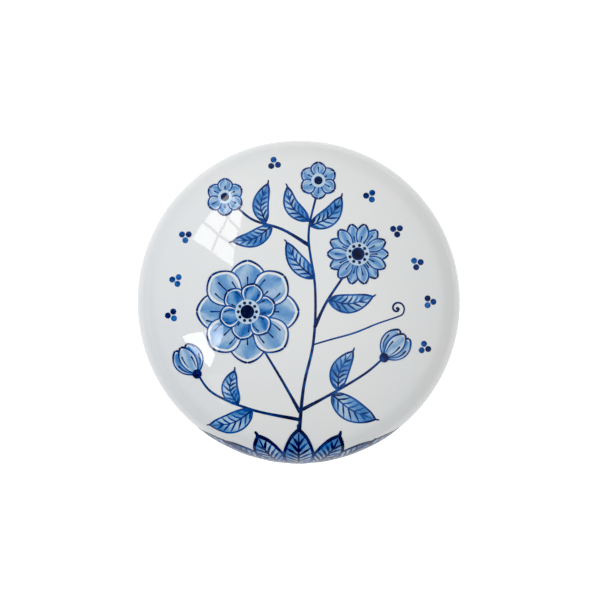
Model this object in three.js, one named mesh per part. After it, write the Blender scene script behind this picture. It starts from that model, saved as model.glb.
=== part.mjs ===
// A round porcelain trinket box with a domed lid that lifts off.
// Two fired pieces: the bowl of the base, with its foot ring and locating collar, and the lid.
// Millimetres, +Z up, origin on the table under the middle of the foot ring.

import * as THREE from 'three';

// ---- Overall sizes ----
const outerRadius = 50; // widest line of the closed box
const rimHeight = 33; // the base's ledge, where the lid's edge comes down, above the table

// ---- Lid ----
const crownRadius = 90; // the shallow spherical crown
const shoulderRadius = 13.5; // turns the crown down into the skirt
const skirtHeight = 3; // upright wall between the lid's edge and its widest line
const lidWall = 3.2;
const lidEdgeRounding = 0.8;

// ---- Base ----
const baseWall = 3.5;
const floorThickness = 3.5;
const undersideCurve = 24; // turns the wall in towards the foot
const ledgeRounding = 0.8;
const footRadius = 30; // outer edge of the foot ring
const footWidth = 3.4;
const footHeight = 2.5; // depth of the recess inside the foot ring
const footRounding = 0.7;

// ---- Locating collar, raised from the base inside the lid's skirt ----
const collarHeight = 4.5; // above the ledge
const collarThickness = 2.4;
const neckHeight = 5; // how far below the ledge the inside starts to lean in to the collar

// ---- Fits ----
const seatGap = 0.3; // between the lid's edge and the ledge
const collarClearance = 0.6; // between the collar and the inside of the skirt

// ---- Fineness ----
const turnSegments = 48; // round the axis
const curveTolerance = 0.045; // how far a chord may stand off its arc

const degrees = Math.PI / 180;

// One round stretch of a profile, as points from one angle to the other.
function arc(centreRadius, centreHeight, radius, fromAngle, toAngle) {
  const widestStep = 2 * Math.acos(1 - Math.min(curveTolerance / radius, 0.2));
  const steps = Math.max(2, Math.ceil(Math.abs(toAngle - fromAngle) / widestStep));
  const points = [];
  for (let i = 0; i <= steps; i += 1) {
    const angle = fromAngle + ((toAngle - fromAngle) * i) / steps;
    const r = centreRadius + radius * Math.cos(angle);
    points.push(new THREE.Vector2(r, centreHeight + radius * Math.sin(angle)));
  }
  return points;
}

function point(radius, height) {
  return new THREE.Vector2(radius, height);
}

// Turns a profile of (radius, height) points about the upright axis.
function turned(name, profile, material) {
  const joined = profile.filter((p, i) => i === 0 || p.distanceTo(profile[i - 1]) > 1e-4);
  const geometry = new THREE.LatheGeometry(joined, turnSegments);
  geometry.rotateX(90 * degrees);
  const mesh = new THREE.Mesh(geometry, material);
  mesh.name = name;
  return mesh;
}

// The lid is one wall of even thickness: its inside follows the crown and the shoulder
// from the same centres. The crown and the shoulder meet where both slope alike.
function lid() {
  const edgeHeight = rimHeight + seatGap;
  const widestHeight = edgeHeight + skirtHeight;
  const shoulderCentre = outerRadius - shoulderRadius;
  const centreToCentre = crownRadius - shoulderRadius;
  const crownCentreHeight = widestHeight - Math.sqrt(centreToCentre ** 2 - shoulderCentre ** 2);
  const meetingAngle = Math.acos(shoulderCentre / centreToCentre);
  const skirtInside = outerRadius - lidWall;
  const innerRounding = lidEdgeRounding / 2;

  const profile = [
    point(0, crownCentreHeight + crownRadius - lidWall),
    ...arc(0, crownCentreHeight, crownRadius - lidWall, 90 * degrees, meetingAngle),
    ...arc(shoulderCentre, widestHeight, shoulderRadius - lidWall, meetingAngle, 0),
    ...arc(
      skirtInside + innerRounding,
      edgeHeight + innerRounding,
      innerRounding,
      180 * degrees,
      270 * degrees,
    ),
    ...arc(
      outerRadius - lidEdgeRounding,
      edgeHeight + lidEdgeRounding,
      lidEdgeRounding,
      -90 * degrees,
      0,
    ),
    ...arc(shoulderCentre, widestHeight, shoulderRadius, 0, meetingAngle),
    ...arc(0, crownCentreHeight, crownRadius, meetingAngle, 90 * degrees),
  ];
  profile[0].x = 0;
  profile[profile.length - 1].x = 0;
  return turned('domed_lid', profile, glaze(0xdadddd));
}

// The base is a bowl on a foot ring. Near the ledge its inside leans in, so that the
// collar keeps its thickness inside the lid's skirt.
function base() {
  const curveRadius = Math.min(undersideCurve, rimHeight - ledgeRounding - footHeight);
  const curveCentre = outerRadius - curveRadius;
  const curveTop = footHeight + curveRadius;
  const footInside = footRadius - footWidth;
  const footMeetsCurve = Math.acos(Math.min(1, Math.max(0, (footRadius - curveCentre) / curveRadius)));
  const collarOutside = outerRadius - lidWall - collarClearance;
  const collarInside = collarOutside - collarThickness;
  const collarTop = rimHeight + collarHeight;
  const collarRounding = collarThickness / 2;
  const wallInside = outerRadius - baseWall;
  const floorHeight = footHeight + floorThickness;
  const cavityCurve = Math.min(curveRadius - baseWall, curveTop - floorHeight);
  const neckStart = Math.max(rimHeight - neckHeight, floorHeight + cavityCurve);

  const profile = [
    point(0, footHeight),
    point(footInside, footHeight),
    ...arc(footInside + footRounding, footRounding, footRounding, 180 * degrees, 270 * degrees),
    ...arc(footRadius - footRounding, footRounding, footRounding, -90 * degrees, 0),
    ...arc(curveCentre, curveTop, curveRadius, -footMeetsCurve, 0),
    ...arc(outerRadius - ledgeRounding, rimHeight - ledgeRounding, ledgeRounding, 0, 90 * degrees),
    point(collarOutside, rimHeight),
    ...arc(collarOutside - collarRounding, collarTop - collarRounding, collarRounding, 0, 180 * degrees),
    point(collarInside, rimHeight),
    point(wallInside, neckStart),
    ...arc(wallInside - cavityCurve, floorHeight + cavityCurve, cavityCurve, 0, -90 * degrees),
    point(0, floorHeight),
  ];
  return turned('base_bowl', profile, glaze(0xd8dbdc));
}

function glaze(colour) {
  return new THREE.MeshStandardMaterial({ color: colour, roughness: 0.08, metalness: 0 });
}

const trinketBox = new THREE.Group();
trinketBox.name = 'porcelain_trinket_box';
trinketBox.add(base(), lid());

export default trinketBox;
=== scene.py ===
# A round porcelain trinket box with a lift-off domed lid, painted by hand in cobalt blue.
# Metres, +Z up; the front of the box, where the painted spray grows from, faces -Y.
import math
import random

import bmesh
import bpy
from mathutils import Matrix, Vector


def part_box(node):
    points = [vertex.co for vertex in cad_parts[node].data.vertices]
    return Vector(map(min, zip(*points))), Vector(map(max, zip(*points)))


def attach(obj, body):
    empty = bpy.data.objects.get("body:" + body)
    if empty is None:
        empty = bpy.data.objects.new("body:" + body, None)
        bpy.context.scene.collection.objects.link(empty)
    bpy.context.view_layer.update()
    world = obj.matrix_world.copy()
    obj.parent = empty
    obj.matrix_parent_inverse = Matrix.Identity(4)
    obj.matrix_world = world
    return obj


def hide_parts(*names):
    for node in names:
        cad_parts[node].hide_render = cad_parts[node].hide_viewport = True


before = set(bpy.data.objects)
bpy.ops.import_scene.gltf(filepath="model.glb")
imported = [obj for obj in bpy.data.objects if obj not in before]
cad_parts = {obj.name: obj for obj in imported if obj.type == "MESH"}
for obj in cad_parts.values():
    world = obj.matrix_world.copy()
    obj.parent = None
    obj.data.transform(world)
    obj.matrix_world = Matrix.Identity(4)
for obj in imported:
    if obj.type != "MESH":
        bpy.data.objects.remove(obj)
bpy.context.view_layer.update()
scene = bpy.context.scene
MM = 0.001

# ---------------------------------------------------------------------------------------------
# Camera. It looks straight down on the closed box through a long lens, from a copy stand, with
# the front of the box at the foot of the picture.
lid_low, lid_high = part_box("domed_lid")
base_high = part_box("base_bowl")[1]
BOX_RADIUS = lid_high.x / MM
SKIRT_HEIGHT = 3.0
LID_EDGE = lid_low.z / MM
WIDEST_HEIGHT = LID_EDGE + SKIRT_HEIGHT

camera_distance = 1.0
field_width = 3.718 * BOX_RADIUS * MM
camera_data = bpy.data.cameras.new("overhead_camera")
camera_data.sensor_width = 36
camera_data.lens = camera_data.sensor_width * camera_distance / field_width
camera = bpy.data.objects.new("overhead_camera", camera_data)
off_middle = (0.41 * MM, 0.55 * MM)
camera.location = (*off_middle, WIDEST_HEIGHT * MM + camera_distance)
scene.collection.objects.link(camera)
scene.camera = camera

# ---------------------------------------------------------------------------------------------
# Studio. A pale tabletop under a tent of soft light that is darkest straight overhead, with two
# paned windows to the left, whose panes show in the glaze.
scene.view_settings.view_transform = "Standard"


def new_material(name):
    material = bpy.data.materials.new(name)
    material.use_nodes = True
    material.node_tree.nodes.clear()
    return material, material.node_tree.nodes, material.node_tree.links


def tabletop():
    """Pale board, with a glow near the box that only reflections see: a painted rim of light in the
    glaze.
    """
    board_reach = 0.135
    material, nodes, links = new_material("pale_tabletop")
    surface = nodes.new("ShaderNodeBsdfPrincipled")
    surface.inputs["Base Color"].default_value = (0.80, 0.80, 0.80, 1)
    surface.inputs["Roughness"].default_value = 0.8
    surface.inputs["Specular IOR Level"].default_value = 0.1
    surface.inputs["Emission Color"].default_value = (1, 1, 1, 1)
    looked_at = nodes.new("ShaderNodeLightPath")
    glow = nodes.new("ShaderNodeMath")
    glow.operation = "MULTIPLY"
    glow.inputs[1].default_value = 0.75
    links.new(looked_at.outputs["Is Camera Ray"], glow.inputs[0])
    place = nodes.new("ShaderNodeTexCoord")
    away = nodes.new("ShaderNodeVectorMath")
    away.operation = "LENGTH"
    links.new(place.outputs["Object"], away.inputs[0])
    near = nodes.new("ShaderNodeMath")
    near.operation = "LESS_THAN"
    near.inputs[1].default_value = board_reach
    links.new(away.outputs["Value"], near.inputs[0])
    # Painted reflection: near the box the board glows for glossy rays only, so the glaze shows a bright
    # rim no lamp casts.
    painted_reflection_ring = nodes.new("ShaderNodeMath")
    painted_reflection_ring.operation = "MULTIPLY"
    links.new(near.outputs[0], painted_reflection_ring.inputs[0])
    links.new(looked_at.outputs["Is Glossy Ray"], painted_reflection_ring.inputs[1])
    glow_and_painted_reflection = nodes.new("ShaderNodeMath")
    glow_and_painted_reflection.operation = "MULTIPLY_ADD"
    glow_and_painted_reflection.inputs[1].default_value = 0.5
    links.new(painted_reflection_ring.outputs[0], glow_and_painted_reflection.inputs[0])
    links.new(glow.outputs[0], glow_and_painted_reflection.inputs[2])
    links.new(glow_and_painted_reflection.outputs[0], surface.inputs["Emission Strength"])
    output = nodes.new("ShaderNodeOutputMaterial")
    links.new(surface.outputs[0], output.inputs[0])
    mesh = bmesh.new()
    bmesh.ops.create_grid(mesh, x_segments=1, y_segments=1, size=6.0)
    data = bpy.data.meshes.new("tabletop")
    mesh.to_mesh(data)
    mesh.free()
    data.materials.append(material)
    floor = bpy.data.objects.new("tabletop", data)
    scene.collection.objects.link(floor)


def heading(azimuth, elevation):
    """The direction to something seen from the box, by compass angle from +X and height in degrees."""
    a, e = math.radians(azimuth), math.radians(elevation)
    return Vector((math.cos(a) * math.cos(e), math.sin(a) * math.cos(e), math.sin(e)))


def soft_tent(fill, glows):
    """Light from all round: an even fill, and broad soft glows as (direction, colour, cosines)."""
    world = bpy.data.worlds.new("soft_tent")
    world.use_nodes = True
    scene.world = world
    nodes, links = world.node_tree.nodes, world.node_tree.links
    nodes.clear()
    place = nodes.new("ShaderNodeTexCoord")
    total = nodes.new("ShaderNodeRGB")
    total.outputs[0].default_value = (*fill, 1)
    total = total.outputs[0]
    for towards, colour, outer, inner in glows:
        facing = nodes.new("ShaderNodeVectorMath")
        facing.operation = "DOT_PRODUCT"
        facing.inputs[1].default_value = towards
        links.new(place.outputs["Generated"], facing.inputs[0])
        falloff = nodes.new("ShaderNodeMapRange")
        falloff.interpolation_type = "SMOOTHSTEP"
        falloff.inputs["From Min"].default_value = outer
        falloff.inputs["From Max"].default_value = inner
        links.new(facing.outputs["Value"], falloff.inputs["Value"])
        tinted = nodes.new("ShaderNodeVectorMath")
        tinted.operation = "SCALE"
        tinted.inputs[0].default_value = colour
        links.new(falloff.outputs[0], tinted.inputs["Scale"])
        both = nodes.new("ShaderNodeVectorMath")
        both.operation = "ADD"
        links.new(total, both.inputs[0])
        links.new(tinted.outputs[0], both.inputs[1])
        total = both.outputs[0]
    background = nodes.new("ShaderNodeBackground")
    links.new(total, background.inputs[0])
    output = nodes.new("ShaderNodeOutputWorld")
    links.new(background.outputs[0], output.inputs[0])


def window(name, corners, columns, rows, bar, colour, strength):
    """A paned window a metre away. Corners run round it as seen from the box; bars stay dark."""
    material, nodes, links = new_material(name)
    light = nodes.new("ShaderNodeEmission")
    light.inputs["Color"].default_value = (*colour, 1)
    light.inputs["Strength"].default_value = strength
    output = nodes.new("ShaderNodeOutputMaterial")
    links.new(light.outputs[0], output.inputs[0])
    mesh = bmesh.new()
    made = bmesh.ops.create_grid(mesh, x_segments=columns, y_segments=rows, size=0.5)
    foot_left, foot_right, head_right, head_left = (heading(*corner) for corner in corners)
    for vertex in made["verts"]:
        across, up = vertex.co.x + 0.5, vertex.co.y + 0.5
        foot = foot_left.lerp(foot_right, across)
        head = head_left.lerp(head_right, across)
        vertex.co = foot.lerp(head, up)
    mesh.normal_update()
    framed = bmesh.ops.inset_individual(mesh, faces=mesh.faces[:], thickness=bar / 2)
    bmesh.ops.delete(mesh, geom=framed["faces"], context="FACES")
    data = bpy.data.meshes.new(name)
    mesh.to_mesh(data)
    mesh.free()
    data.materials.append(material)
    panes = bpy.data.objects.new(name, data)
    scene.collection.objects.link(panes)


scene.view_settings.use_curve_mapping = True
scene.view_settings.curve_mapping.black_level = (0.026, 0.026, 0.026)
tabletop()
soft_tent(
    fill=(0.148, 0.149, 0.150),
    glows=(
        (heading(40, 80), (0.43, 0.427, 0.423), -0.2, 1.0),
        (heading(0, 90), (0.05, 0.05, 0.05), -0.1, 0.6),
        (heading(122, 14), (0.46, 0.46, 0.46), 0.4, 1.0),
        (heading(190, 10), (0.0, 0.03, 0.08), 0.2, 1.0),
        (heading(-10, 52), (0.32, 0.32, 0.32), 0.5, 1.0),
        (heading(280, 50), (0.14, 0.14, 0.14), 0.5, 1.0),
    ),
)
window(
    "upper_window",
    corners=((150, 38.7), (120.7, 35.8), (121.3, 47.5), (152.7, 60.5)),
    columns=3,
    rows=2,
    bar=0.024,
    colour=(1.0, 1.0, 1.0),
    strength=5.5,
)
window(
    "lower_window",
    corners=((196, 39.6), (217.5, 44.6), (206, 57), (196, 59)),
    columns=1,
    rows=2,
    bar=0.022,
    colour=(0.93, 0.95, 1.0),
    strength=8.0,
)
window(
    "far_window",
    corners=((218.4, 41.4), (235.4, 36.2), (229.9, 45.6), (224, 47.6)),
    columns=2,
    rows=1,
    bar=0.006,
    colour=(0.95, 0.97, 1.0),
    strength=1.4,
)

# ---------------------------------------------------------------------------------------------
# Base bowl. Cast porcelain, one piece with its foot ring, the ledge for the lid and the collar
# that keeps the lid in place. Glazed all over but for the foot and the ledge, which are wiped bare.
CROWN_RADIUS = 90.0
SHOULDER_RADIUS = 13.5
SHOULDER_CENTRE = BOX_RADIUS - SHOULDER_RADIUS
CROWN_CENTRE = WIDEST_HEIGHT - math.sqrt((CROWN_RADIUS - SHOULDER_RADIUS) ** 2 - SHOULDER_CENTRE**2)
MEETING_SLOPE = math.asin(SHOULDER_CENTRE / (CROWN_RADIUS - SHOULDER_RADIUS))
LEDGE = LID_EDGE - 0.3
EDGE_ROUNDING = 0.8
LID_WALL = 3.2
BASE_WALL = 3.5
UNDERSIDE_RADIUS = 24.0
FOOT_HEIGHT = 2.5
PORCELAIN = (0.80, 0.81, 0.805)


def glazed_white(nodes, links):
    """The white under the glaze: cool where the glaze lies thick, with a rare speck of iron."""
    place = nodes.new("ShaderNodeTexCoord")
    cloud = nodes.new("ShaderNodeTexNoise")
    cloud.inputs["Scale"].default_value = 38.0
    cloud.inputs["Detail"].default_value = 3.0
    links.new(place.outputs["Object"], cloud.inputs["Vector"])
    depth = nodes.new("ShaderNodeValToRGB")
    depth.color_ramp.elements[0].position = 0.32
    depth.color_ramp.elements[0].color = (PORCELAIN[0] * 0.975, PORCELAIN[1] * 0.99, PORCELAIN[2], 1)
    depth.color_ramp.elements[1].position = 0.68
    depth.color_ramp.elements[1].color = (PORCELAIN[0] * 1.01, PORCELAIN[1], PORCELAIN[2] * 0.99, 1)
    links.new(cloud.outputs["Fac"], depth.inputs[0])
    specks = nodes.new("ShaderNodeTexVoronoi")
    specks.inputs["Scale"].default_value = 75.0
    links.new(place.outputs["Object"], specks.inputs["Vector"])
    pinholes = nodes.new("ShaderNodeMapRange")
    pinholes.inputs["From Min"].default_value = 0.008
    pinholes.inputs["From Max"].default_value = 0.016
    pinholes.inputs["To Min"].default_value = 0.72
    pinholes.inputs["To Max"].default_value = 1.0
    links.new(specks.outputs["Distance"], pinholes.inputs["Value"])
    white = nodes.new("ShaderNodeVectorMath")
    white.operation = "SCALE"
    links.new(depth.outputs[0], white.inputs[0])
    links.new(pinholes.outputs[0], white.inputs["Scale"])
    return white.outputs[0]


def glaze_surface(nodes, links, colour):
    """Clear gloss glaze over a colour, with the faint waviness that firing leaves."""
    place = nodes.new("ShaderNodeTexCoord")
    waves = nodes.new("ShaderNodeTexNoise")
    waves.inputs["Scale"].default_value = 120.0
    waves.inputs["Detail"].default_value = 1.0
    links.new(place.outputs["Object"], waves.inputs["Vector"])
    ripple = nodes.new("ShaderNodeBump")
    ripple.inputs["Strength"].default_value = 0.12
    ripple.inputs["Distance"].default_value = 0.0004
    links.new(waves.outputs["Fac"], ripple.inputs["Height"])
    surface = nodes.new("ShaderNodeBsdfPrincipled")
    surface.inputs["Roughness"].default_value = 0.035
    surface.inputs["IOR"].default_value = 1.5
    links.new(colour, surface.inputs["Base Color"])
    links.new(ripple.outputs["Normal"], surface.inputs["Normal"])
    output = nodes.new("ShaderNodeOutputMaterial")
    links.new(surface.outputs[0], output.inputs[0])


def make_white_glaze():
    material, nodes, links = new_material("white_glaze")
    glaze_surface(nodes, links, glazed_white(nodes, links))
    return material


def make_bare_porcelain():
    """Fired but unglazed: a dry, slightly warm white with a fine grain that catches grey."""
    material, nodes, links = new_material("bare_porcelain")
    place = nodes.new("ShaderNodeTexCoord")
    grain = nodes.new("ShaderNodeTexNoise")
    grain.inputs["Scale"].default_value = 2600.0
    grain.inputs["Detail"].default_value = 4.0
    links.new(place.outputs["Object"], grain.inputs["Vector"])
    tone = nodes.new("ShaderNodeValToRGB")
    tone.color_ramp.elements[0].position = 0.3
    tone.color_ramp.elements[0].color = (0.60, 0.58, 0.55, 1)
    tone.color_ramp.elements[1].position = 0.62
    tone.color_ramp.elements[1].color = (0.78, 0.76, 0.72, 1)
    links.new(grain.outputs["Fac"], tone.inputs[0])
    pits = nodes.new("ShaderNodeBump")
    pits.inputs["Strength"].default_value = 0.25
    pits.inputs["Distance"].default_value = 0.00008
    links.new(grain.outputs["Fac"], pits.inputs["Height"])
    surface = nodes.new("ShaderNodeBsdfPrincipled")
    surface.inputs["Roughness"].default_value = 0.72
    links.new(tone.outputs[0], surface.inputs["Base Color"])
    links.new(pits.outputs["Normal"], surface.inputs["Normal"])
    output = nodes.new("ShaderNodeOutputMaterial")
    links.new(surface.outputs[0], output.inputs[0])
    return material


WHITE_GLAZE = make_white_glaze()
BARE_PORCELAIN = make_bare_porcelain()


def arc(centre_radius, centre_height, radius, start, end, steps):
    """A round stretch of a profile; its slope goes from start to end, 0 level and 90 upright."""
    stretch = []
    for step in range(steps + 1):
        slope = math.radians(start + (end - start) * step / steps)
        across = centre_radius + radius * math.sin(slope)
        stretch.append((max(0.0, across), centre_height + radius * math.cos(slope)))
    return stretch


def turned_on_wheel(name, profile, is_bare):
    """Turns a profile of (radius, height) in millimetres about the upright axis."""
    mesh = bmesh.new()
    outline = [mesh.verts.new((radius * MM, 0, height * MM)) for radius, height in profile]
    edges = [mesh.edges.new(pair) for pair in zip(outline, outline[1:])]
    bmesh.ops.spin(
        mesh,
        geom=outline + edges,
        cent=(0, 0, 0),
        axis=(0, 0, 1),
        angle=math.tau,
        steps=288,
        use_merge=True,
    )
    bmesh.ops.remove_doubles(mesh, verts=mesh.verts[:], dist=1e-7)
    bmesh.ops.recalc_face_normals(mesh, faces=mesh.faces[:])
    for face in mesh.faces:
        face.smooth = True
        middle = face.calc_center_median() / MM
        face.material_index = int(is_bare(math.hypot(middle.x, middle.y), middle.z))
    data = bpy.data.meshes.new(name)
    mesh.to_mesh(data)
    mesh.free()
    data.materials.append(WHITE_GLAZE)
    data.materials.append(BARE_PORCELAIN)
    piece = bpy.data.objects.new(name, data)
    scene.collection.objects.link(piece)
    return piece


def make_base():
    collar_outside = BOX_RADIUS - LID_WALL - 0.6
    collar_inside = collar_outside - 2.4
    collar_top = base_high.z / MM
    foot_outside, foot_inside, foot_rounding = 30.0, 26.6, 0.7
    curve_centre = BOX_RADIUS - UNDERSIDE_RADIUS
    curve_top = FOOT_HEIGHT + UNDERSIDE_RADIUS
    foot_slope = 180 - math.degrees(math.asin((foot_outside - curve_centre) / UNDERSIDE_RADIUS))
    profile = [
        (0, FOOT_HEIGHT),
        (foot_inside - 1.2, FOOT_HEIGHT),
        *arc(foot_inside - 0.5, FOOT_HEIGHT - 0.5, 0.5, 0, 90, 4),
        *arc(foot_inside + foot_rounding, foot_rounding, foot_rounding, 270, 180, 6),
        *arc(foot_outside - foot_rounding, foot_rounding, foot_rounding, 180, 90, 6),
        *arc(curve_centre, curve_top, UNDERSIDE_RADIUS, foot_slope, 90, 36),
        *arc(BOX_RADIUS - EDGE_ROUNDING, LEDGE - EDGE_ROUNDING, EDGE_ROUNDING, 90, 0, 8),
        (collar_outside + 0.4, LEDGE),
        (collar_outside, LEDGE + 0.4),
        *arc(collar_outside - 1.2, collar_top - 1.2, 1.2, 90, -90, 14),
        (collar_inside, LEDGE + 0.5),
    ]
    neck_low, neck_high = LEDGE - 5.0, LEDGE
    wall_inside = BOX_RADIUS - BASE_WALL
    for step in range(9):
        share = step / 8
        lean = (1 - math.cos(math.pi * share)) / 2
        radius = collar_inside + (wall_inside - collar_inside) * lean
        profile.append((radius, neck_high + (neck_low - neck_high) * share))
    cavity_radius = UNDERSIDE_RADIUS - BASE_WALL
    profile += arc(wall_inside - cavity_radius, curve_top, cavity_radius, 90, 180, 32)
    profile.append((0, curve_top - cavity_radius))

    def is_bare(radius, height):
        on_foot = height < 0.45
        on_ledge = LEDGE - 0.15 < height < LEDGE + 1.0 and radius > collar_outside - 0.05
        return on_foot or on_ledge

    return turned_on_wheel("porcelain_base", profile, is_bare)


base = make_base()
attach(base, "base")
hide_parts("base_bowl")

# ---------------------------------------------------------------------------------------------
# Domed lid. Cast in one even wall: a shallow crown that turns down over a rounded shoulder into a
# short skirt. It is glazed inside and out; only the edge that stands on the ledge is bare.


def make_lid():
    inner_shoulder = SHOULDER_RADIUS - LID_WALL
    meeting = math.degrees(MEETING_SLOPE)
    profile = [
        *arc(0, CROWN_CENTRE, CROWN_RADIUS - LID_WALL, 0, meeting, 44),
        *arc(SHOULDER_CENTRE, WIDEST_HEIGHT, inner_shoulder, meeting, 90, 20)[1:],
        *arc(BOX_RADIUS - LID_WALL + 0.4, LID_EDGE + 0.4, 0.4, 270, 180, 5),
        *arc(BOX_RADIUS - EDGE_ROUNDING, LID_EDGE + EDGE_ROUNDING, EDGE_ROUNDING, 180, 90, 8),
        *arc(SHOULDER_CENTRE, WIDEST_HEIGHT, SHOULDER_RADIUS, 90, meeting, 36),
        *arc(0, CROWN_CENTRE, CROWN_RADIUS, meeting, 0, 60)[1:],
    ]

    def is_bare(radius, height):
        return height < LID_EDGE + 0.12

    return turned_on_wheel("porcelain_lid", profile, is_bare)


lid = make_lid()
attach(lid, "lid")
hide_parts("domed_lid")

# ---------------------------------------------------------------------------------------------
# Painting. Cobalt brushed on before the last glaze. Every stroke is a thin film that follows the
# porcelain, and later coats stand a little higher. The plan is drawn as seen from above, in
# millimetres; past the shoulder its radius is measured along the wall, down over the seam.
SHOULDER_PLAN = 46.0
SHOULDER_SLOPE = math.asin((SHOULDER_PLAN - SHOULDER_CENTRE) / SHOULDER_RADIUS)
WIDEST_PLAN = SHOULDER_PLAN + SHOULDER_RADIUS * (math.pi / 2 - SHOULDER_SLOPE)
CURVE_TOP = FOOT_HEIGHT + UNDERSIDE_RADIUS
CURVE_PLAN = WIDEST_PLAN + WIDEST_HEIGHT - CURVE_TOP
FILM_LIFT = 0.02
FILM_EDGE = 0.035
FILM_DEPTH = 0.05


def on_porcelain(x, y, lift):
    """The place on the closed box, in metres, of a point of the plan, lifted off the glaze."""
    plan = math.hypot(x, y)
    if plan < SHOULDER_CENTRE + SHOULDER_RADIUS * math.sin(MEETING_SLOPE):
        slope = math.asin(plan / CROWN_RADIUS)
        radius = (CROWN_RADIUS + lift) * math.sin(slope)
        height = CROWN_CENTRE + (CROWN_RADIUS + lift) * math.cos(slope)
    elif plan < WIDEST_PLAN:
        if plan < SHOULDER_PLAN:
            slope = math.asin((plan - SHOULDER_CENTRE) / SHOULDER_RADIUS)
        else:
            slope = SHOULDER_SLOPE + (plan - SHOULDER_PLAN) / SHOULDER_RADIUS
        radius = SHOULDER_CENTRE + (SHOULDER_RADIUS + lift) * math.sin(slope)
        height = WIDEST_HEIGHT + (SHOULDER_RADIUS + lift) * math.cos(slope)
    elif plan < CURVE_PLAN:
        radius = BOX_RADIUS + lift
        height = WIDEST_HEIGHT - (plan - WIDEST_PLAN)
    else:
        slope = math.pi / 2 + (plan - CURVE_PLAN) / UNDERSIDE_RADIUS
        radius = BOX_RADIUS - UNDERSIDE_RADIUS + (UNDERSIDE_RADIUS + lift) * math.sin(slope)
        height = CURVE_TOP + (UNDERSIDE_RADIUS + lift) * math.cos(slope)
    outward = radius / plan if plan > 1e-9 else 1.0
    return Vector((x * outward, y * outward, height)) * MM


def make_cobalt():
    """Cobalt as a tint over the white: each film's "ink" says how much, its "grain" where the
    hairs of the brush left it thinner."""
    material, nodes, links = new_material("cobalt_painting")
    ink = nodes.new("ShaderNodeAttribute")
    ink.attribute_name = "ink"
    grain = nodes.new("ShaderNodeAttribute")
    grain.attribute_name = "grain"
    hairs = nodes.new("ShaderNodeTexNoise")
    hairs.inputs["Scale"].default_value = 1.0
    hairs.inputs["Detail"].default_value = 2.0
    links.new(grain.outputs["Vector"], hairs.inputs["Vector"])
    place = nodes.new("ShaderNodeTexCoord")
    water = nodes.new("ShaderNodeTexNoise")
    water.inputs["Scale"].default_value = 420.0
    water.inputs["Detail"].default_value = 3.0
    links.new(place.outputs["Object"], water.inputs["Vector"])
    uneven = nodes.new("ShaderNodeMath")
    uneven.operation = "ADD"
    links.new(hairs.outputs["Fac"], uneven.inputs[0])
    links.new(water.outputs["Fac"], uneven.inputs[1])
    share = nodes.new("ShaderNodeMapRange")
    share.inputs["From Min"].default_value = 0.65
    share.inputs["From Max"].default_value = 1.35
    share.inputs["To Min"].default_value = 0.78
    share.inputs["To Max"].default_value = 1.18
    links.new(uneven.outputs[0], share.inputs["Value"])
    amount = nodes.new("ShaderNodeMath")
    amount.operation = "MULTIPLY"
    links.new(ink.outputs["Fac"], amount.inputs[0])
    links.new(share.outputs[0], amount.inputs[1])
    tint = nodes.new("ShaderNodeValToRGB")
    stops = (
        (0.0, (1.0, 1.0, 1.0)),
        (0.14, (0.63, 0.79, 0.95)),
        (0.32, (0.23, 0.455, 0.78)),
        (0.52, (0.040, 0.225, 0.62)),
        (0.69, (0.002, 0.092, 0.40)),
        (0.83, (0.001, 0.022, 0.14)),
        (1.0, (0.0, 0.003, 0.028)),
    )
    ramp = tint.color_ramp
    while len(ramp.elements) < len(stops):
        ramp.elements.new(0.5)
    for element, (position, colour) in zip(ramp.elements, stops):
        element.position = position
        element.color = (*colour, 1)
    links.new(amount.outputs[0], tint.inputs[0])
    tinted = nodes.new("ShaderNodeVectorMath")
    tinted.operation = "MULTIPLY"
    links.new(glazed_white(nodes, links), tinted.inputs[0])
    links.new(tint.outputs[0], tinted.inputs[1])
    glaze_surface(nodes, links, tinted.outputs[0])
    return material


COBALT = make_cobalt()


class Course:
    """A smooth line through a few points of the plan, read by the share of it covered."""

    def __init__(self, points, closed=False):
        self.closed = closed
        knots = [Vector(point) for point in points]
        if closed:
            knots = [knots[-1], *knots, knots[0], knots[1]]
        else:
            knots = [2 * knots[0] - knots[1], *knots, 2 * knots[-1] - knots[-2]]
        self.places = [knots[1]]
        for before, start, end, after in zip(knots, knots[1:], knots[2:], knots[3:]):
            for step in range(1, 13):
                t = step / 12
                pull_in = end - before
                pull_out = after - start
                place = start * (2 * t**3 - 3 * t**2 + 1) + end * (3 * t**2 - 2 * t**3)
                place += pull_in * 0.5 * (t**3 - 2 * t**2 + t) + pull_out * 0.5 * (t**3 - t**2)
                self.places.append(place)
        self.run = [0.0]
        for here, there in zip(self.places, self.places[1:]):
            self.run.append(self.run[-1] + (there - here).length)
        self.length = self.run[-1]

    def at(self, share):
        """The place there, and the unit vector to its left."""
        goal = min(max(share, 0.0), 1.0) * self.length
        low, high = 0, len(self.run) - 2
        while low < high:
            middle = (low + high + 1) // 2
            if self.run[middle] <= goal:
                low = middle
            else:
                high = middle - 1
        span = self.run[low + 1] - self.run[low]
        part = (goal - self.run[low]) / span if span > 0 else 0.0
        here, there = self.places[low], self.places[low + 1]
        before, after = here, there
        if low > 0:
            before = self.places[low - 1]
        elif self.closed:
            before = self.places[-2]
        if low + 2 < len(self.places):
            after = self.places[low + 2]
        elif self.closed:
            after = self.places[1]
        ahead = (there - before) * (1 - part) + (after - here) * part
        ahead.normalize()
        return here.lerp(there, part), Vector((-ahead.y, ahead.x))

    def beside(self, share, offset):
        place, left = self.at(share)
        return place + left * offset


def graded(values, share):
    """A value given once, as a few along the way, or as a function of the share covered."""
    if callable(values):
        return values(share)
    if not isinstance(values, (tuple, list)):
        return values
    step = share * (len(values) - 1)
    low = min(int(step), len(values) - 2)
    part = step - low
    return values[low] + (values[low + 1] - values[low]) * part * part * (3 - 2 * part)


def fresh_paint():
    """An empty painting: a mesh whose points carry their ink and their place in the stroke."""
    paint = bmesh.new()
    paint.verts.layers.float.new("ink")
    paint.verts.layers.float_vector.new("grain")
    return paint


SPARE_MESH = bpy.data.meshes.new("stroke")


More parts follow.
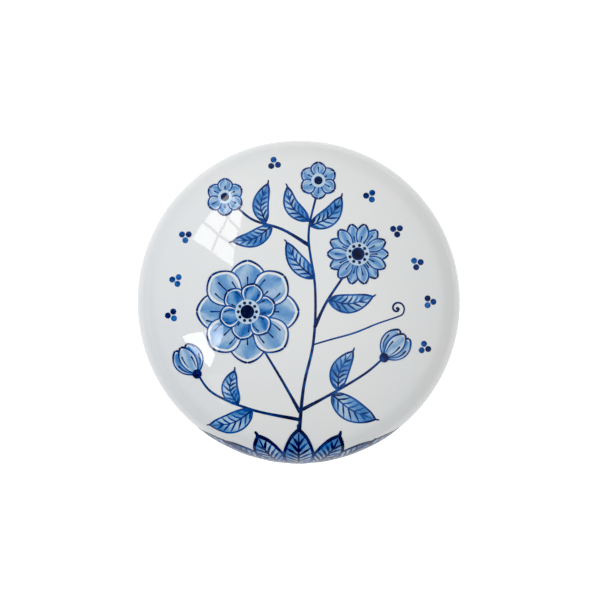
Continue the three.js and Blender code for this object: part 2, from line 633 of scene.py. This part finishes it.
def brush(paint, course, width, ink, coat=0, columns=4, gap=0.6, wet=None):
    """Lays a stroke along a course. Width and ink are graded along it; wet, if given, is the
    ink's share across it, from -1 on the right to 1 on the left. Later coats lie on top."""
    if not isinstance(course, Course):
        course = Course(course)
    length = course.length
    ends = [] if course.closed else [FILM_EDGE, 0.12 * graded(width, 0.02), 0.4 * graded(width, 0.02)]
    tail = [] if course.closed else [FILM_EDGE, 0.12 * graded(width, 0.98), 0.4 * graded(width, 0.98)]
    runs = [0.0, *sorted(run for run in ends if run < length / 3)]
    tails = sorted((length - run for run in tail if run < length / 3))
    first, last = runs[-1], tails[0] if tails else length
    steps = max(2, round((last - first) / gap))
    runs += [first + (last - first) * step / steps for step in range(1, steps)]
    runs += [*tails, length] if tails else [length]
    rows = len(runs) - 1
    seed = random.uniform(0, 500)
    lift = FILM_LIFT * (1 + coat) + random.uniform(0, 0.4) * FILM_LIFT
    spots = []
    for run in runs:
        share = run / length
        place, left = course.at(share)
        half = graded(width, share) / 2
        if not course.closed:
            for gone, end in ((run, graded(width, 0.0)), (length - run, graded(width, 1.0))):
                cap = max(end / 2, 0.0)
                if cap > 0 and gone < cap:
                    half *= math.sqrt(max(0.0, 1 - (1 - gone / cap) ** 2))
        spots.append((place, left, half, share, run))
    stroke = fresh_paint()
    ink_layer = stroke.verts.layers.float["ink"]
    grain_layer = stroke.verts.layers.float_vector["grain"]
    seam = []
    for below in (False, True):
        made = bmesh.ops.create_grid(stroke, x_segments=rows, y_segments=columns, size=0.5)["verts"]
        for vertex in made:
            row = round((vertex.co.x + 0.5) * rows)
            column = round((vertex.co.y + 0.5) * columns)
            place, left, half, share, run = spots[row]
            at_side = column in (0, columns)
            at_end = row in (0, rows) and not course.closed
            inner = max(0.0, 1 - FILM_EDGE / half) if half > FILM_EDGE else 0.5
            across = math.copysign(1, column * 2 - columns) if at_side else 0.0
            if not at_side:
                across = inner * (2 * (column - 1) / (columns - 2) - 1) if columns > 2 else 0.0
            spot = place + left * (half * across)
            if at_side or at_end:
                height = -FILM_LIFT
            else:
                height = -FILM_DEPTH if below else lift
            if at_side or at_end or row in (0, rows):
                seam.append(vertex)
            vertex.co = on_porcelain(spot.x, spot.y, height)
            vertex[ink_layer] = graded(ink, share) * (wet(across, share) if wet else 1.0)
            along, aside = (spot.x, spot.y) if course.closed else (run * 0.35, half * across * 2.4)
            vertex[grain_layer] = (seed + along, seed + aside, seed)
        if below:
            under = {face for vertex in made for face in vertex.link_faces}
            bmesh.ops.reverse_faces(stroke, faces=list(under))
    bmesh.ops.remove_doubles(stroke, verts=seam, dist=2e-7)
    bmesh.ops.dissolve_degenerate(stroke, edges=stroke.edges[:], dist=1e-8)
    stroke.to_mesh(SPARE_MESH)
    stroke.free()
    paint.from_mesh(SPARE_MESH)


def round_course(x, y, radius):
    """A closed course round a middle."""
    turns = [math.tau * step / 12 for step in range(12)]
    return Course([(x + radius * math.cos(a), y + radius * math.sin(a)) for a in turns], closed=True)


def blot(paint, x, y, radius, ink, coat=0):
    """A round touch of the brush: a stroke so wide that it meets itself in the middle."""
    columns = 4 if radius < 1.5 else 10
    gap = max(0.35, radius / 6)
    brush(paint, round_course(x, y, radius / 2), radius * 0.999, ink, coat, columns, gap)


def painted(name, paint, body):
    """Turns a painting into a piece that moves with the lid or with the base."""
    for face in paint.faces:
        face.smooth = True
    for edge in paint.edges:
        edge.smooth = edge.calc_face_angle(0.0) < 0.3
    data = bpy.data.meshes.new(name)
    paint.to_mesh(data)
    paint.free()
    data.materials.append(COBALT)
    piece = bpy.data.objects.new(name, data)
    scene.collection.objects.link(piece)
    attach(piece, body)
    return piece


# ---------------------------------------------------------------------------------------------
# Stems and leaves. A plain spray of one stem and its branches, brushed in single strokes, with
# leaves in loose pairs: a wash, slanting veins and an outline.


def shape(spine, width, belly=0.45, blunt=0.75):
    """A leaf's or petal's course, and its half width there: widest at its belly."""
    course = Course(spine)
    bend = math.log(0.5) / math.log(belly)

    def half(share):
        return width / 2 * math.sin(math.pi * min(max(share, 0.0), 1.0) ** bend) ** blunt

    return course, half


def leaf(paint, spine, width, line, veins, rim, vein, coat=0, belly=0.45, tip=1.2):
    """A leaf: an uneven wash, slanting veins off a midrib, an outline and a flick at its tip."""
    wash = 0.36
    course, half = shape(spine, width, belly)
    phase = random.uniform(0, 6)

    def pooled(across, share):
        return 0.9 + 0.42 * math.sin(6.5 * share + 1.3 * across + phase) + 0.1 * across * across

    brush(paint, course, lambda share: 2 * half(share), (wash * 1.1, wash, wash), coat, 10, 0.8, pooled)
    rib = [course.at(0.01 + 0.93 * step / 5)[0] for step in range(6)]
    brush(paint, rib, (rim, rim * 0.9, rim * 0.55), (line, line * 0.95, line * 0.9), coat + 1.4)
    for side in (-1, 1):
        for number in range(veins):
            start = 0.03 + 0.78 * number / veins
            end = start + 0.17
            reach = side * half(end) * 0.97
            bend = course.beside(start + 0.1, reach * 0.5)
            points = [course.at(start)[0], bend, course.beside(end, reach)]
            tone = line * random.uniform(0.78, 1.02)
            brush(paint, points, (vein * 1.1, vein * 1.5, vein * 0.7), (tone, tone, tone * 0.8), coat + 1)
        edge = [course.beside(step / 9, side * half(step / 9)) for step in range(10)]
        widths = (rim * 0.8, rim * 1.1, rim, rim * 1.25)
        brush(paint, edge, widths, (line * 0.9, line * 0.85, line), coat + 2)
    if tip:
        place, left = course.at(1.0)
        ahead = Vector((left.y, -left.x))
        flick = [
            place - ahead * 0.3,
            place + ahead * tip * 0.6 + left * 0.1,
            place + ahead * tip + left * 0.35,
        ]
        brush(paint, flick, (rim * 1.3, rim, rim * 0.8), line, coat + 2.3)


def curl(paint, x, y, radius, start, turns, width, ink, tail, coat=1):
    """A spiral that winds out from its middle and runs on into a tail."""
    points = []
    steps = round(8 * abs(turns))
    for step in range(1, steps + 1):
        a = math.radians(start) + math.copysign(math.tau, turns) * abs(turns) * step / steps
        points.append((x + radius * step / steps * math.cos(a), y + radius * step / steps * math.sin(a)))
    brush(paint, [*points, *tail], width, ink, coat, gap=0.4)
    blot(paint, x, y, 0.55, 0.95, coat + 1)


STEM_LINE = (0.95, 0.8, 0.84, 0.78)
random.seed(11)
paint = fresh_paint()
for points in (
    [(0, -42), (1.5, -26), (4.5, -12), (5, 4), (3, 20), (5.5, 33)],
    [(0.6, -34), (-5, -24), (-11, -14)],
    [(4.7, -8), (8.5, 0), (14.5, 9)],
    [(0.8, -33), (10, -28), (20, -22), (26, -17)],
    [(0.4, -36), (-14, -33), (-26, -28), (-31, -22)],
    [(3.4, 17), (-5, 22), (-14, 25), (-20, 30)],
):
    brush(paint, points, (1.2, 0.9, 0.8, 0.7), STEM_LINE, 1)
curl(
    paint, 30.0, -2.0, 2.6, 90, -1.5, (0.7, 0.5, 0.6, 0.55), (0.9, 0.7, 0.8),
    tail=[(24.0, -6.6), (17.0, -9.4), (9.5, -11.5), (4.4, -13.0)],
)
painted("painted_stems", paint, "lid")

random.seed(13)
paint = fresh_paint()
for spine, width in (
    ([(4.9, 7), (-0.5, 12), (-3.6, 18)], 5.0),
    ([(3.4, 23), (9.5, 26), (13, 32)], 5.2),
    ([(3.2, 24.5), (-2, 29), (-3.4, 35)], 4.4),
    ([(-14, -33), (-20, -37), (-27.5, -38)], 6.0),
    ([(-18.5, -31.5), (-21, -26.5), (-19.5, -21)], 4.8),
    ([(10, -28), (16, -33), (23.5, -36)], 6.8),
    ([(12, -27.2), (12.5, -21), (16.5, -15)], 5.4),
    ([(8.8, 0.6), (15.5, -0.6), (22.5, 1.6)], 5.4),
    ([(-8, 23.2), (-13.5, 19.2), (-20, 18.4)], 4.8),
    ([(-10, 24), (-11.6, 29.5), (-9.4, 36)], 4.6),
):
    leaf(paint, spine, width, line=0.82, veins=6, rim=0.55, vein=0.45)
painted("painted_lid_leaves", paint, "lid")

# ---------------------------------------------------------------------------------------------
# Flowers. A round rosette of plain petals, a daisy, two small six-petalled blossoms and two
# closed buds, all set out evenly about their middles and outlined over a wet wash.


def petal(paint, spine, width, wash, streaks, belly=0.55, coat=0):
    """A plain petal: a wash that stops short of its outline, and streaks that follow it."""
    line, rim = 0.78, 0.58
    course, half = shape(spine, width, belly, blunt=0.62)
    phase = random.uniform(0, 6)

    def pooled(across, share):
        return 0.9 + 0.3 * math.sin(3.4 * across + 4 * share + phase)

    brush(paint, course, lambda share: 2 * half(share), 0.02, coat, 8, 0.9)
    inside = [course.at(0.06 + 0.86 * step / 6)[0] for step in range(7)]

    def filled(share):
        return 1.6 * half(0.06 + 0.86 * share)

    brush(paint, inside, filled, wash, coat + 0.6, 10, 0.8, pooled)
    for number in range(streaks):
        aside = 0.58 * (2 * number / max(1, streaks - 1) - 1) if streaks > 1 else 0.0
        low = random.uniform(0.1, 0.35)
        high = low + random.uniform(0.3, 0.5)
        along = (low, (low + high) / 2, high)
        points = [course.beside(share, aside * half(share)) for share in along]
        brush(paint, points, (0.3, 0.4, 0.6), (line * 0.8, line, line * 1.15), coat + 1.5)
    for side in (-1, 1):
        shares = [(1 - math.cos(math.pi * step / 14)) / 2 for step in range(15)]
        edge = [course.beside(share, side * half(share)) for share in shares]
        widths = (rim, rim * 0.85, rim * 0.95, rim * 1.3)
        brush(paint, edge, widths, (line, line * 0.88, line * 1.05), coat + 2)


def ring_of_petals(paint, x, y, count, inner, outer, width, wash, turn=0.0, coat=0, streaks=3):
    """Petals set evenly round a middle; every second one lies over its neighbours."""
    middle = Vector((x, y))
    for number in range(count):
        a = math.radians(turn) + math.tau * number / count
        ahead = Vector((math.cos(a), math.sin(a)))
        spine = [middle + ahead * reach for reach in (inner, (inner + outer) / 2, outer)]
        petal(paint, spine, width, wash, streaks=streaks, belly=0.6, coat=coat + 3 * (number % 2))


def flower_eye(paint, x, y, radius, dots, coat):
    """A dark middle in a ring, with dots round it."""
    blot(paint, x, y, radius * 2, 0.14, coat=coat)
    blot(paint, x, y, radius * 1.1, 1.0, coat=coat + 1)
    brush(paint, round_course(x, y, radius), 0.5, 0.8, coat + 1, gap=0.45)
    for number in range(dots):
        a = math.tau * number / dots
        blot(paint, x + radius * 1.45 * math.cos(a), y + radius * 1.45 * math.sin(a), 0.6, 0.9, coat + 1)


random.seed(23)
paint = fresh_paint()
ring_of_petals(paint, -15.5, -3, 8, 2.5, 15.5, 10.8, 0.34, coat=2)
ring_of_petals(paint, -15.5, -3, 6, 1.5, 8.6, 6.6, 0.5, turn=15, coat=8, streaks=2)
flower_eye(paint, -15.5, -3, 1.9, 10, 14)
painted("painted_rosette", paint, "lid")

random.seed(29)
paint = fresh_paint()
ring_of_petals(paint, 18, 14.5, 14, 2.0, 9.2, 3.5, 0.36, coat=2, streaks=1)
flower_eye(paint, 18, 14.5, 1.8, 9, 8)
painted("painted_daisy", paint, "lid")

random.seed(31)
paint = fresh_paint()
for x, y in ((6, 37), (-22.5, 32)):
    ring_of_petals(paint, x, y, 6, 0.8, 5.6, 4.4, 0.36, turn=30, coat=2, streaks=1)
    flower_eye(paint, x, y, 1.1, 0, 8)
painted("painted_small_blossoms", paint, "lid")

random.seed(37)
paint = fresh_paint()
for x, y, bearing in ((26, -17, 48), (-31, -22, 122)):
    ahead = Vector((math.cos(math.radians(bearing)), math.sin(math.radians(bearing))))
    left = Vector((-ahead.y, ahead.x))
    foot = Vector((x, y))
    for side, coat in ((-1, 2), (1, 2), (0, 6)):
        bowed = ((0, 0), (4.6, 2.3), (9.4, 2.0))
        spine = [foot + ahead * reach + left * side * bow for reach, bow in bowed]
        petal(paint, spine, 4.4 if side else 4.8, 0.4 if side else 0.26, streaks=2, coat=coat)
    blot(paint, x, y, 1.5, 0.9, coat=10)
painted("painted_buds", paint, "lid")

# ---------------------------------------------------------------------------------------------
# Dots. Three touches of a loaded round brush at a time, in the same cobalt, to fill the white
# porcelain round the spray.
random.seed(41)
paint = fresh_paint()
for bearing, reach in (
    (100, 43),
    (56, 39),
    (36, 37),
    (18, 38),
    (0, 40),
    (150, 40),
    (170, 38),
    (186, 39),
    (340, 41),
):
    x = reach * math.cos(math.radians(bearing))
    y = reach * math.sin(math.radians(bearing))
    for number in range(3):
        a = math.radians(bearing) + math.tau * number / 3
        blot(paint, x + 1.2 * math.cos(a), y + 1.2 * math.sin(a), 1.0, random.uniform(0.6, 0.9), coat=1)
painted("painted_dots", paint, "lid")

# ---------------------------------------------------------------------------------------------
# Leaves at the front. The spray stands in an even tuft of broad leaves with near-black outlines,
# which bend over the shoulder and stop above the lid's edge.


def broad_leaf(paint, spine, width, line, coat, tip):
    leaf(paint, spine, width, line, veins=8, rim=0.95, vein=0.62, coat=coat, belly=0.5, tip=tip)


random.seed(59)
paint = fresh_paint()
for side in (-1, 1):
    for points, width, coat in (
        ([(12.6, -55.9), (21.8, -49.2), (32.4, -43.2)], 7.0, 0),
        ([(8, -56.6), (16.5, -50), (23.5, -44.5)], 7.4, 2),
        ([(4, -57), (9, -48.5), (12.5, -41)], 8.6, 4),
    ):
        spine = [(side * x, y) for x, y in points]
        broad_leaf(paint, spine, width, 0.97, coat, 1.6)
broad_leaf(paint, [(0, -57.2), (0, -48), (0, -39)], 9.0, 0.97, 8, 1.6)
painted("painted_ground_leaves", paint, "lid")

# ---------------------------------------------------------------------------------------------
# Base painting. A tuft of the same leaves at the front, and leafy sprigs round the rest, drawn
# on the wall below the seam by compass bearing and distance down the wall.


def down_wall(bearing, across, plan):
    a = math.radians(bearing) + across / BOX_RADIUS
    return (plan * math.cos(a), plan * math.sin(a))


random.seed(61)
paint = fresh_paint()
for bearing, lean, tip_plan, width, coat in (
    (243, -17, 66.0, 10.0, 0),
    (300, 18, 66.0, 10.0, 0),
    (255, -13, 63.5, 11.0, 3),
    (288, 13, 63.0, 11.0, 3),
    (263, -6, 63.2, 9.0, 0),
    (280, 7, 63.0, 9.0, 0),
    (271, 1, 64.0, 12.0, 6),
):
    spine = [
        down_wall(bearing, 0, 88),
        down_wall(bearing, lean * 0.35, 76),
        down_wall(bearing, lean, tip_plan),
    ]
    broad_leaf(paint, spine, width, 0.95, coat, 1.2)
painted("painted_base_leaves", paint, "base")

random.seed(67)
paint = fresh_paint()
for bearing, lean in ((322, 6), (8, -6), (52, 5), (96, -6), (138, 6), (180, -5), (220, 6)):
    stem = Course([
        down_wall(bearing, 0, 92),
        down_wall(bearing, lean * 0.2, 82),
        down_wall(bearing, lean, 69.5),
    ])
    brush(paint, stem, (1.2, 0.8, 0.7), (0.95, 0.8, 0.78), coat=1)
    for number, share in enumerate((0.16, 0.34, 0.52, 0.7)):
        side = 1 if number % 2 else -1
        start = stem.at(share)[0]
        middle = stem.beside(share + 0.12, side * (3.4 - 0.4 * number))
        end = stem.beside(share + 0.2, side * (7.6 - 1.2 * number))
        spine = [start, middle, end]
        leaf(paint, spine, 4.6 - 0.5 * number, line=0.82, veins=3, rim=0.5, vein=0.4, tip=0.8)
    x, y = stem.at(1.0)[0]
    for number in range(5):
        a = math.radians(bearing + 36 + 72 * number)
        petal_x, petal_y = x + 2.0 * math.cos(a), y + 2.0 * math.sin(a)
        blot(paint, petal_x, petal_y, 1.6, 0.4, coat=2)
        brush(paint, round_course(petal_x, petal_y, 1.6), 0.5, 0.7, 3, gap=0.45)
    blot(paint, x, y, 0.9, 1.0, coat=4)
painted("painted_base_sprigs", paint, "base")
